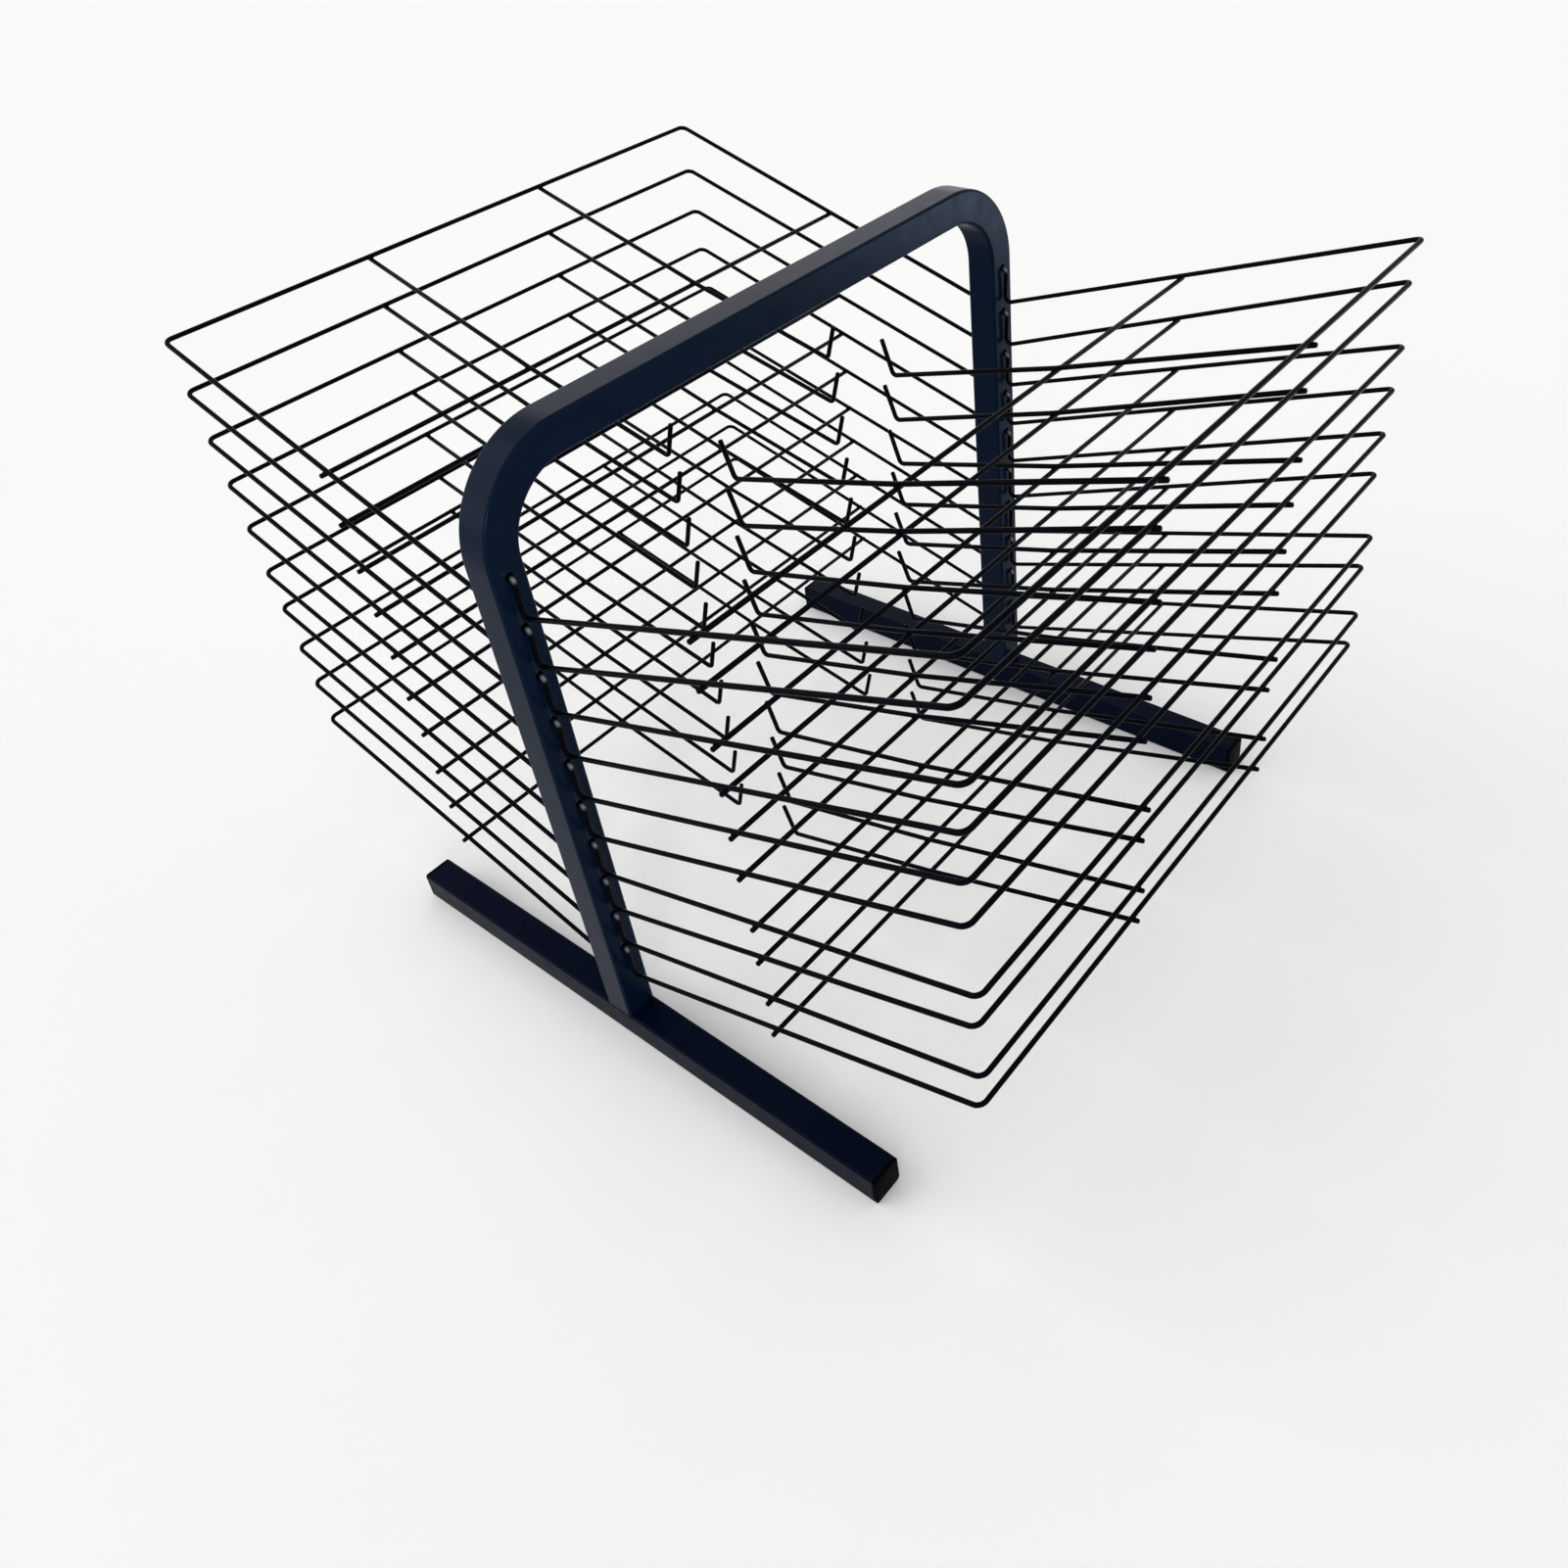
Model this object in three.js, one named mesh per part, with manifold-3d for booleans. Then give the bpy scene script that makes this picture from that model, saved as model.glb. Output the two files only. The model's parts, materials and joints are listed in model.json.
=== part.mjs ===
// A free-standing, two-sided drying rack for wet artwork: a bent square tube on two feet, with sloping wire
// shelves hooked into holes on both sides. Millimetres and degrees. X runs along the top bar, Z is up,
// and the shelves reach out along +Y (left) and -Y (right). The floor is at z = 0.
import * as THREE from "three";
import { mergeVertices } from "three/addons/utils/BufferGeometryUtils.js";
import Module from "manifold-3d";

const wasm = await Module();
wasm.setup();

// Frame and feet
const postSpacing = 450; // between the centre lines of the two posts
const tubeSize = 22;
const tubeWall = 1.5;
const tubeCorner = 2; // outer corner radius of the square tube
const bendRadius = 52; // of the tube's centre line in the two top bends
const footLength = 434; // the tube alone, without its end caps

// Holes in the posts
const levels = 10;
const levelPitch = 32;
const lowestHole = 83; // height of the middle of the lowest holes
const holeSize = 5;
const holeToBend = 5; // from the middle of the top holes to the start of the bends

// Shelf wires. Each arm ends in a hook: a leg rises in front of the post and its end turns in through a
// hole. Distances along an arm are measured from its heel, where the lines of the arm and the leg meet.
const wire = 3; // diameter
const weldDepth = 0.6; // how far two crossing wires sink into each other where they are welded
const armReach = 294.5; // to the middle of the outer rim wire
const rimCorner = 5;
const crossReach = 140.5; // to the cross wire under the arms
const crossOverrun = 4; // the cross wire's ends past the arms
const innerSpacing = 150; // between the two inner wires
const innerOverrun = 3.5; // the inner wires' ends past the rim wire
const stopReach = 17.5; // to the stops at the inner end of the inner wires
const stopLift = 6.5; // of the stops' foot above the plane of the arms
const stopHeight = 24.5;
const stopBend = 3;
const legHeight = 25; // from the heel up to the middle of the wire in its hole
const heelBend = 4;
const hookBend = 3; // of the two bends beside the hole
const tailRise = 10; // of the hook's tail inside the post, above the middle of the wire in its hole

// The slope of each shelf, top to bottom. The hooks are bent by hand, so no two sit quite alike.
const leftTilts = [18.2, 17.8, 17.6, 17.6, 17.2, 16.4, 16.9, 16.3, 16.2, 15.7];
const rightTilts = [17.5, 18.9, 17.5, 18.4, 18.8, 19.5, 16.8, 18.4, 17.2, 18.4];

// End caps, inserts and bolts
const capFlange = 2.5;
const capBevel = 0.8;
const capPlug = 12;
const insertLength = 25;
const boltThread = 6;
const boltLength = 20;
const boltHead = 10.5;
const boltHeadHeight = 3.3;
const boltKey = 4;
const boltKeyDepth = 2;

// Clearances
const seatClearance = 0.3; // between a hook and the bottom of its hole
const heelClearance = 0.3; // between the line of a leg, at its heel, and the post
const plugClearance = 0.3; // around plugs and inserts in a tube
const boltClearance = 0.6; // on the diameter of the bolt's hole in the foot
const threadClearance = 0.4; // on the diameter of the insert's bore
const toolClearance = 3.5; // on the diameter of the hole that the bolt's head goes in by

const tubeBore = tubeSize - 2 * tubeWall;
const boreCorner = tubeCorner - tubeWall;
const wireRadius = wire / 2;
const stackStep = wire - weldDepth; // between the middles of two crossing wires
const heelOut = tubeWall / 2 + heelClearance + wireRadius; // from the middle of the wall

// Facets: sides of round pieces, and steps in each quarter turn of a bend or corner
const wireSides = 6;
const roundSides = 16;
const wireSteps = 3;
const bendSteps = 10;
const cornerSteps = 2;

// Materials
const coat = { metalness: 0.35, roughness: 0.45 };
const frameCoat = new THREE.MeshStandardMaterial({ color: 0x1b2029, ...coat });
const footCoat = new THREE.MeshStandardMaterial({ color: 0x171b23, ...coat });
const wireCoat = new THREE.MeshStandardMaterial({ color: 0x121418, ...coat });
const capPlastic = new THREE.MeshStandardMaterial({ color: 0x131417, metalness: 0, roughness: 0.55 });
const zincPlate = new THREE.MeshStandardMaterial({ color: 0xa9adb0, metalness: 1, roughness: 0.35 });

// A path through listed points, so that each step of a sweep lands on a point.
class PointPath extends THREE.Curve {
  constructor(points) {
    super();
    this.points = points;
  }

  getPointAt(share) {
    return this.points[Math.round(share * (this.points.length - 1))].clone();
  }

  getTangentAt(share) {
    const last = this.points.length - 1;
    const here = Math.round(share * last);
    const before = this.points[Math.max(here - 1, 0)];
    const after = this.points[Math.min(here + 1, last)];
    const incoming = this.points[here].clone().sub(before).normalize();
    const outgoing = after.clone().sub(this.points[here]).normalize();
    return incoming.add(outgoing).normalize();
  }
}

const radians = THREE.MathUtils.degToRad;

// Points on an arc in a plane, both ends included, with angles in degrees.
function arc(centreA, centreB, radius, fromAngle, toAngle, steps) {
  return Array.from({ length: steps + 1 }, (_, i) => {
    const angle = radians(fromAngle + ((toAngle - fromAngle) * i) / steps);
    return [centreA + radius * Math.cos(angle), centreB + radius * Math.sin(angle)];
  });
}

function sweep(outline, points) {
  const extrudePath = new PointPath(points);
  return new THREE.ExtrudeGeometry(outline, { extrudePath, steps: points.length - 1 });
}

function roundedRectangle(width, height, corner, steps) {
  const a = width / 2 - corner;
  const b = height / 2 - corner;
  return [
    ...arc(a, -b, corner, -90, 0, steps),
    ...arc(a, b, corner, 0, 90, steps),
    ...arc(-a, b, corner, 90, 180, steps),
    ...arc(-a, -b, corner, 180, 270, steps),
  ].map(([x, y]) => new THREE.Vector2(x, y));
}

function tubeOutline() {
  const outline = new THREE.Shape(roundedRectangle(tubeSize, tubeSize, tubeCorner, cornerSteps));
  outline.holes.push(new THREE.Path(roundedRectangle(tubeBore, tubeBore, boreCorner, 1)));
  return outline;
}

function wireOutline() {
  const ring = arc(0, 0, wireRadius, 0, 360, wireSides).slice(0, wireSides);
  return new THREE.Shape(ring.map(([x, y]) => new THREE.Vector2(x, y)));
}

// Solids for joining and cutting
function toSolid(geometry) {
  const bare = new THREE.BufferGeometry().setAttribute("position", geometry.getAttribute("position"));
  bare.setIndex(geometry.index);
  const merged = mergeVertices(bare, 1e-4);
  const vertProperties = merged.getAttribute("position").array;
  const triVerts = new Uint32Array(merged.index.array);
  return new wasm.Manifold(new wasm.Mesh({ numProp: 3, vertProperties, triVerts }));
}

function toGeometry(solid) {
  const made = solid.getMesh();
  const geometry = new THREE.BufferGeometry();
  geometry.setAttribute("position", new THREE.BufferAttribute(made.vertProperties, 3));
  geometry.setIndex(new THREE.BufferAttribute(made.triVerts, 1));
  const faceted = geometry.toNonIndexed();
  faceted.computeVertexNormals();
  return faceted;
}

function join(geometries) {
  return toGeometry(geometries.map(toSolid).reduce((whole, piece) => whole.add(piece)));
}

function cut(geometry, cutters) {
  const left = cutters.map(toSolid).reduce((body, cutter) => body.subtract(cutter), toSolid(geometry));
  return toGeometry(left);
}

function upright(radius, bottom, top, sides) {
  const cylinder = new THREE.CylinderGeometry(radius, radius, top - bottom, sides);
  return cylinder.rotateX(Math.PI / 2).translate(0, 0, (top + bottom) / 2);
}

const rack = new THREE.Group();

function addPiece(name, geometry, material, parent = rack) {
  const mesh = new THREE.Mesh(geometry, material);
  mesh.name = name;
  parent.add(mesh);
  return mesh;
}

const posts = [
  ["near", -postSpacing / 2],
  ["far", postSpacing / 2],
];

// The height of the middle of a level's holes, with level 1 at the top
function holeOf(level) {
  return lowestHole + (levels - level) * levelPitch;
}

const levelNumbers = Array.from({ length: levels }, (_, i) => i + 1);

// Frame: up the near post, along the top bar and down the far post
function framePath() {
  const side = postSpacing / 2;
  const bendStart = holeOf(1) + holeToBend;
  const points = [
    [-side, tubeSize],
    ...arc(-side + bendRadius, bendStart, bendRadius, 180, 90, bendSteps),
    ...arc(side - bendRadius, bendStart, bendRadius, 90, 0, bendSteps),
    [side, tubeSize],
  ];
  return points.map(([x, z]) => new THREE.Vector3(x, 0, z));
}

// A drill across a post, through both of its side walls
function crossDrill(x, height) {
  const drill = new THREE.CylinderGeometry(holeSize / 2, holeSize / 2, tubeSize + 2, roundSides);
  return drill.translate(x, 0, height);
}

const crossDrills = posts.flatMap(([, x]) => levelNumbers.map((level) => crossDrill(x, holeOf(level))));
addPiece("frame", cut(sweep(tubeOutline(), framePath()), crossDrills), frameCoat);

// A foot lies along Y under its post. The bolt's head goes in by the large hole below and bears on the
// top wall.
function footTube() {
  const ends = [-footLength / 2, footLength / 2];
  const tube = sweep(
    tubeOutline(),
    ends.map((y) => new THREE.Vector3(0, y, tubeSize / 2)),
  );
  const toolHole = upright((boltHead + toolClearance) / 2, -1, tubeSize / 2, roundSides);
  const boltHole = upright((boltThread + boltClearance) / 2, tubeSize / 2, tubeSize + 1, roundSides);
  return cut(tube, [toolHole, boltHole]);
}

// A block that slides into the bore of a tube along Z
function borePlug(bottom, top) {
  const size = tubeBore - 2 * plugClearance;
  const outline = new THREE.Shape(roundedRectangle(size, size, boreCorner, 1));
  const plug = new THREE.ExtrudeGeometry(outline, { depth: top - bottom, bevelEnabled: false });
  return plug.translate(0, 0, bottom);
}

// An end cap has its flange on the tube's end at y = 0 and its plug inside the tube, towards +Y.
function endCap() {
  const size = tubeSize - 2 * capBevel;
  const flangeOutline = roundedRectangle(size, size, tubeCorner, cornerSteps);
  const flange = new THREE.ExtrudeGeometry(new THREE.Shape(flangeOutline), {
    depth: capFlange - 2 * capBevel,
    bevelThickness: capBevel,
    bevelSize: capBevel,
    bevelSegments: 2,
  });
  flange.translate(0, 0, capBevel);
  return join([flange, borePlug(-capPlug, capBevel)]).rotateX(Math.PI / 2);
}

// The insert's bottom is level with the end of its post.
function insertBlock() {
  const bore = upright((boltThread + threadClearance) / 2, -1, insertLength + 1, roundSides);
  return cut(borePlug(0, insertLength), [bore]);
}

// A button-head bolt, with the underside of its head at z = 0 and its thread pointing up.
function footBolt() {
  const profile = [
    [0, -boltHeadHeight],
    [boltHead * 0.3, -boltHeadHeight],
    [boltHead * 0.46, -boltHeadHeight / 2],
    [boltHead / 2, 0],
    [boltThread / 2, 0],
    [boltThread / 2, boltLength],
    [0, boltLength],
  ].map(([r, h]) => new THREE.Vector2(r, h));
  const body = new THREE.LatheGeometry(profile, roundSides).rotateX(Math.PI / 2);
  const keyRadius = boltKey / Math.sqrt(3);
  const socket = upright(keyRadius, -boltHeadHeight - 1, boltKeyDepth - boltHeadHeight, 6);
  return cut(body, [socket]);
}

for (const [end, x] of posts) {
  addPiece(`${end}_foot`, footTube(), footCoat).position.x = x;
  addPiece(`${end}_insert`, insertBlock(), zincPlate).position.set(x, 0, tubeSize);
  addPiece(`${end}_foot_bolt`, footBolt(), zincPlate).position.set(x, 0, tubeSize - tubeWall);
  const rightCap = addPiece(`${end}_foot_right_cap`, endCap(), capPlastic);
  rightCap.position.set(x, -footLength / 2, tubeSize / 2);
  const leftCap = addPiece(`${end}_foot_left_cap`, endCap(), capPlastic);
  leftCap.position.set(x, footLength / 2, tubeSize / 2);
  leftCap.rotation.z = Math.PI;
}

// The side view of an arm's hook, from the tip of its tail inside the post to the start of the arm, as
// [outward, up] from the middle of the wire in its hole. The bends beside the hole start at the faces of
// the wall.
function hookPoints(tilt) {
  const face = tubeWall / 2;
  const tail = arc(-face, hookBend, hookBend, 180, 270, wireSteps);
  const bendAcross = face - heelOut;
  const bendUp = legHeight - hookBend;
  const legLine = Math.atan2(bendUp, bendAcross) - Math.asin(hookBend / Math.hypot(bendAcross, bendUp));
  const leg = THREE.MathUtils.radToDeg(legLine);
  const top = arc(face, -hookBend, hookBend, 90, leg - 90, wireSteps);
  const halfTurn = radians((leg - tilt) / 2);
  const middle = radians((leg + tilt) / 2);
  const heelCentre = heelBend / Math.sin(halfTurn);
  const heelAcross = heelOut + heelCentre * Math.cos(middle);
  const heelUp = heelCentre * Math.sin(middle) - legHeight;
  const heel = arc(heelAcross, heelUp, heelBend, leg + 90, 270 + tilt, wireSteps);
  return [[-face - hookBend, tailRise], ...tail, ...top, ...heel];
}

// A shelf, with the wire in its holes on the X axis and its arms reaching out along +Y.
function shelf(tilt) {
  const side = postSpacing / 2;
  const along = Math.cos(radians(tilt));
  const rise = Math.sin(radians(tilt));
  const place = (x, reach, lift) =>
    new THREE.Vector3(x, heelOut + reach * along - lift * rise, reach * rise + lift * along - legHeight);

  const hook = hookPoints(tilt);
  const corner = armReach - rimCorner;
  const farCorner = arc(side - rimCorner, corner, rimCorner, 0, 90, wireSteps);
  const nearCorner = arc(-side + rimCorner, corner, rimCorner, 90, 180, wireSteps);
  const rim = [
    ...hook.map(([out, up]) => new THREE.Vector3(side, out, up)),
    ...[...farCorner, ...nearCorner].map(([x, reach]) => place(x, reach, 0)),
    ...hook.toReversed().map(([out, up]) => new THREE.Vector3(-side, out, up)),
  ];

  const crossEnd = side + crossOverrun;
  const cross = [-crossEnd, crossEnd].map((x) => place(x, crossReach, -stackStep));

  const innerOuter = [armReach + innerOverrun, -stackStep];
  const overCross = [crossReach, 0];
  const slope = THREE.MathUtils.radToDeg(Math.atan2(stopLift, crossReach - stopReach));
  const bendIn = stopReach + stopBend;
  const bendUp = stopLift + stopBend;
  const stop = arc(bendIn, bendUp, stopBend, 270 - slope, 180, wireSteps);
  const stopTip = [stopReach, stopLift + stopHeight];
  const inner = [innerOuter, overCross, ...stop, stopTip];
  const innerWires = [-innerSpacing / 2, innerSpacing / 2].map((x) =>
    inner.map(([reach, lift]) => place(x, reach, lift)),
  );

  return join([rim, cross, ...innerWires].map((points) => sweep(wireOutline(), points)));
}

// The shelves of one side share a group. The right side's group is turned half round.
function addSide(name, tilts, turn) {
  const group = new THREE.Group();
  group.rotation.z = turn;
  rack.add(group);
  for (const level of levelNumbers) {
    const piece = addPiece(`${name}_shelf_${level}`, shelf(tilts[level - 1]), wireCoat, group);
    const wireHeight = holeOf(level) - holeSize / 2 + seatClearance + wireRadius;
    piece.position.set(0, (tubeSize - tubeWall) / 2, wireHeight);
  }
}

addSide("left", leftTilts, 0);
addSide("right", rightTilts, Math.PI);

export default rack;
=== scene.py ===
"""Dresses a two-sided wire drying rack: coated tubes, welded wires, moulded caps and a studio."""

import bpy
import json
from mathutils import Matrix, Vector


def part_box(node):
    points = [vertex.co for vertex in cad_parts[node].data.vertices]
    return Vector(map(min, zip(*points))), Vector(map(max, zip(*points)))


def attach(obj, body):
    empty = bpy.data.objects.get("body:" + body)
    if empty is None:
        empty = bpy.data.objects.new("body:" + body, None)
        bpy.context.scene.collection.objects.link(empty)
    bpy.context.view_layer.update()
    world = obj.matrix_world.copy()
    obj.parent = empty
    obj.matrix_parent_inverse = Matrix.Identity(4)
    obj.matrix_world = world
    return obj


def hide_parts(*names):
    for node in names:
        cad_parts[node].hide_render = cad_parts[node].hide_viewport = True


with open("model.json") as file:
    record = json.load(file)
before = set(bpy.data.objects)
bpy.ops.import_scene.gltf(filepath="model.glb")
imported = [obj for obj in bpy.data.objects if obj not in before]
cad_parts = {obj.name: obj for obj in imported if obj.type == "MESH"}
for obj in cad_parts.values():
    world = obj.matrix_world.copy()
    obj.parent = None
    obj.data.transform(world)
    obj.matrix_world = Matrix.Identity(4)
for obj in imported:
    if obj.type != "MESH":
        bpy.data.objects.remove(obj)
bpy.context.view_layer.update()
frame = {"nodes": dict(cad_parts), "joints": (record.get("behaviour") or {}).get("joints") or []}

import json
import math

import bmesh
import bpy
from mathutils import Matrix, Vector

bl_info = {
    "name": "Art Drying Rack",
    "version": (1, 0, 0),
    "blender": (4, 5, 0),
    "location": "View3D > Sidebar > Rack",
    "description": "Builds a two-sided wire rack for drying artwork around its measured frame",
    "category": "Add Mesh",
}

MM = 0.001
ENDS = ("near", "far")
SIDES = {"left": 1, "right": -1}
JOINTS = {joint["name"]: joint for joint in frame["joints"]}
LEVELS = sum(1 for name in frame["nodes"] if name.startswith("left_shelf_"))
GLINT_ATTRIBUTE = "painted_glint"  # the mesh attribute that says how much painted glint a bend has
WORN_COAT = "#4a4e55"  # where the coat is rubbed on an edge
PAINTED_GLINT_COLOUR = "#74777f"  # a painted glint on the outside of a hook's bend beside its hole

# Facets: sides of round pieces and steps in a bend or corner
WIRE_SIDES = 12
WIRE_BEND_STEPS = 8
TUBE_BEND_STEPS = 28
TUBE_CORNER_STEPS = 6
CAP_CORNER_STEPS = 5
HOOK_HOLE_SIDES = 32
FOOT_HOLE_SIDES = 40

# Sizes that the measured frame gives
FRAME_LOW, FRAME_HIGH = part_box("frame")
FOOT_LOW, FOOT_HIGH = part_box("near_foot")
CAP_LOW, CAP_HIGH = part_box("near_foot_right_cap")
TUBE_SIZE = FRAME_HIGH.y - FRAME_LOW.y
POST_SPACING = FRAME_HIGH.x - FRAME_LOW.x - TUBE_SIZE
FOOT_LENGTH = FOOT_HIGH.y - FOOT_LOW.y
# Each shelf tips about the middle of the post's wall.
TUBE_WALL = TUBE_SIZE - 2 * JOINTS["left_shelf_1_tip"]["pos_m"][1]


def length(name, description, default):
    """A size in metres that a user may change."""
    return bpy.props.FloatProperty(
        name=name, description=description, default=default, min=0, precision=4, unit="LENGTH"
    )


def colour(name, description, default):
    """A colour that a user may change, written as an sRGB hex value."""
    return bpy.props.StringProperty(name=name, description=description, default=default)


def strength(name, description, default):
    """The strength of a wide light, which a user may change."""
    return bpy.props.FloatProperty(name=name, description=description, default=default, min=0)


def power(name, description, default):
    """The power of a lamp in watts, which a user may change."""
    return bpy.props.FloatProperty(name=name, description=description, default=default, min=0, unit="POWER")


def slopes(name, description, default):
    """The slopes in degrees of one side's shelves, from the top, which a user may change."""
    return bpy.props.FloatVectorProperty(
        name=name, description=description, size=len(default), default=default
    )


class RackTubeSizes(bpy.types.PropertyGroup):
    """The bent frame tube, its holes, the feet and their caps"""

    size: length("Tube", "Outer width of the square tube", TUBE_SIZE)
    wall: length("Wall", "Wall of the square tube", TUBE_WALL)
    corner: length("Corner", "Outer corner radius of the square tube", 2 * MM)
    bend: length("Bend", "Radius of the tube's centre line in the two top bends", 52 * MM)
    hole: length("Hook hole", "Diameter of the holes for the shelves' hooks", 5 * MM)
    edge: length("Coated edge", "How far the coating rounds a cut edge", 0.35 * MM)
    bolt_hole: length("Bolt hole", "Diameter of the bolt's hole in a foot", 6.6 * MM)
    tool_hole: length("Tool hole", "Diameter of the hole below the bolt's head", 14 * MM)
    cap_plug: length("Cap plug", "How far a cap's plug reaches into its foot", 12 * MM)
    cap_play: length("Cap play", "Play of a cap's plug in its foot", 0.6 * MM)
    cap_bevel: length("Cap bevel", "Bevel round both edges of a cap's flange", 0.8 * MM)


class RackShelfSizes(bpy.types.PropertyGroup):
    """One welded wire shelf, measured along its arms from their heels beside the posts"""

    wire: length("Wire", "Diameter of the wire", 3 * MM)
    weld_depth: length("Weld depth", "How far two crossing wires sink into each other", 0.6 * MM)
    arm_reach: length("Reach", "To the middle of the outer rim wire", 294.5 * MM)
    rim_corner: length("Rim corner", "Radius of the rim's two outer corners", 5 * MM)
    cross_reach: length("Cross wire", "To the cross wire under the arms", 140.5 * MM)
    cross_overrun: length("Cross overrun", "The cross wire's ends past the arms", 4 * MM)
    inner_spacing: length("Inner wires", "Between the two inner wires", 150 * MM)
    inner_overrun: length("Inner overrun", "The inner wires' ends past the rim wire", 3.5 * MM)
    stop_reach: length("Stop", "To the upturned stops", 17.5 * MM)
    stop_lift: length("Stop lift", "Of the stops' foot above the plane of the arms", 6.5 * MM)
    stop_height: length("Stop height", "Of the upturned stops", 24.5 * MM)
    stop_bend: length("Stop bend", "Bend radius of the stops", 3 * MM)
    leg_height: length("Leg", "From an arm's heel up to the wire in its hole", 25 * MM)
    heel_bend: length("Heel bend", "Bend radius between an arm and its leg", 4 * MM)
    heel_gap: length("Heel gap", "Between a leg's line, at its heel, and the post", 0.3 * MM)
    hook_bend: length("Hook bend", "Radius of the two bends beside a hole", 3 * MM)
    tail_rise: length("Tail", "Rise of a hook's tail inside the post", 10 * MM)
    seat_gap: length("Seat gap", "Between a hook and the bottom of its hole", 0.3 * MM)
    left_tilts: slopes(
        "Left slopes",
        "Slope of each left shelf in degrees, from the top",
        (18.2, 17.8, 17.6, 17.6, 17.2, 16.4, 16.9, 16.3, 16.2, 15.7),
    )
    right_tilts: slopes(
        "Right slopes",
        "Slope of each right shelf in degrees, from the top",
        (17.5, 18.9, 17.5, 18.4, 18.8, 19.5, 16.8, 18.4, 17.2, 18.4),
    )


class RackFinish(bpy.types.PropertyGroup):
    """The colours of the finishes"""

    tube_coat: colour("Tube coat", "Powder coat of the frame", "#041225")
    # The foot coat is the tube coat painted darker, as painted shade.
    foot_coat: colour("Foot coat", "Powder coat of the feet", "#03091b")
    wire_coat: colour("Wire coat", "Powder coat of the shelves", "#030409")
    cap_plastic: colour("Caps", "Moulded plastic of the foot caps", "#020204")
    zinc: colour("Zinc", "Plating of the bolts and inserts", "#b4b9bd")
    floor: colour("Floor", "Painted studio floor", "#fafaf9")


class RackStudio(bpy.types.PropertyGroup):
    """The light of the studio"""

    ambient: strength("Room light", "Even light from all round", 0.82)
    key_strength: strength("Key light", "Wide soft light from behind on the left", 1.0)
    back_strength: strength("Back light", "Wide soft light from behind, for a sheen along the top", 0.25)
    front_power: power("Front light", "Narrow lamp left of the camera, for glints on bends", 0.3)
    side_power: power("Side light", "Narrow soft lamp low on the far right", 0.22)


# Shaders
def linear(hex_value):
    """Turns an sRGB hex value into linear red, green, blue and alpha."""
    channels = [int(hex_value[i : i + 2], 16) / 255 for i in (1, 3, 5)]
    return [c / 12.92 if c <= 0.04045 else ((c + 0.055) / 1.055) ** 2.4 for c in channels] + [1.0]


def shaded(rgba, share):
    """The same colour, lighter or darker by a share."""
    return [min(1.0, c * share) for c in rgba[:3]] + [1.0]


def add_node(tree, kind, inputs=None, **settings):
    """Adds a node. An input given as another node's socket is linked, and any other value is set."""
    node = tree.nodes.new(kind)
    for name, value in settings.items():
        setattr(node, name, value)
    for name, value in (inputs or {}).items():
        if isinstance(value, bpy.types.NodeSocket):
            tree.links.new(value, node.inputs[name])
        else:
            node.inputs[name].default_value = value
    return node


def new_material(name):
    """A new material and its node tree, with no nodes yet."""
    material = bpy.data.materials.new(name)
    material.use_nodes = True
    tree = material.node_tree
    tree.nodes.clear()
    return material, tree


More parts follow.
